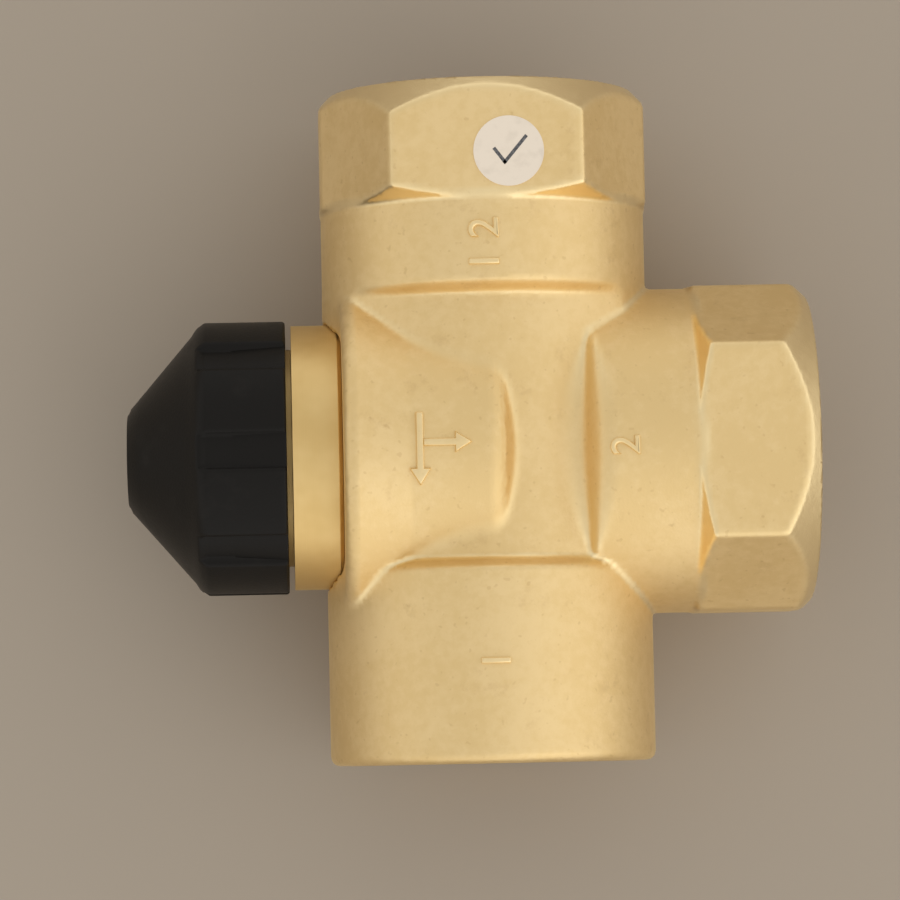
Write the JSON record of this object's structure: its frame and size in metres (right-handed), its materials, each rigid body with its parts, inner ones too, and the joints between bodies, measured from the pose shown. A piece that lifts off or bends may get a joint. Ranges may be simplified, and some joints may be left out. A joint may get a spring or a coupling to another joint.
{
  "type": "three-way valve",
  "caption": "Brass three-way seat valve with threaded pipe ports, sprung stem, double-faced plug and a black screwed protective cap on its actuator neck.",
  "frame": {"origin": "centre of the common port's mouth", "axes": "+Y out of the common port, +X out of the branch port, -X along the actuator neck, +Z out of the front face; the valve lies on its back"},
  "size_m": [0.086, 0.0845, 0.044],
  "materials": {
    "forged_brass": "satin, blasted forging",
    "turned_brass": "turned, satin gloss",
    "stainless": "drawn, satin",
    "seal_rubber": "matte black",
    "cap_plastic": "moulded, satin black",
    "clear_plastic": "moulded, natural",
    "label_film": "printed film, blank"
  },
  "bodies": {
    "body": {"valve_body": "forged_brass", "bonnet": "turned_brass", "bonnet_o_ring": "seal_rubber", "gland_nut": "turned_brass", "stem_seal_outer": "seal_rubber", "stem_seal_inner": "seal_rubber", "seal_spacer": "turned_brass", "stem_guide": "turned_brass", "branch_seat_ring": "turned_brass", "seat_ring_o_ring": "seal_rubber", "return_spring": "stainless", "inspection_label": "label_film"},
    "stem": {"stem": "stainless", "circlip": "stainless", "spring_cup": "stainless", "plug": "turned_brass", "plug_seal_a": "seal_rubber", "plug_seal_b": "seal_rubber", "plug_washer": "stainless", "plug_nut": "stainless"},
    "cap_disc": {"pressure_disc": "clear_plastic"},
    "cap": {"protective_cap": "cap_plastic"}
  },
  "joints": [
    {"name": "stem_slide", "type": "slide", "parent": "body", "child": "stem", "axis": [1, 0, 0], "range_m": [0, 0.0025], "stiffness_N_per_m": 8000, "springref_m": -0.006, "deforming": ["return_spring"]},
    {"name": "cap_lift", "type": "slide", "parent": "body", "child": "cap_disc", "axis": [-1, 0, 0], "range_m": [0, 0.009]},
    {"name": "cap_turn", "type": "hinge", "parent": "cap_disc", "child": "cap", "pos_m": [-0.03, -0.0455, 0], "axis": [-1, 0, 0], "range_deg": [0, 2160]}
  ],
  "couplings": [
    {"joint": "cap_lift", "follows": "cap_turn", "m_per_rad": 0.00023873}
  ]
}
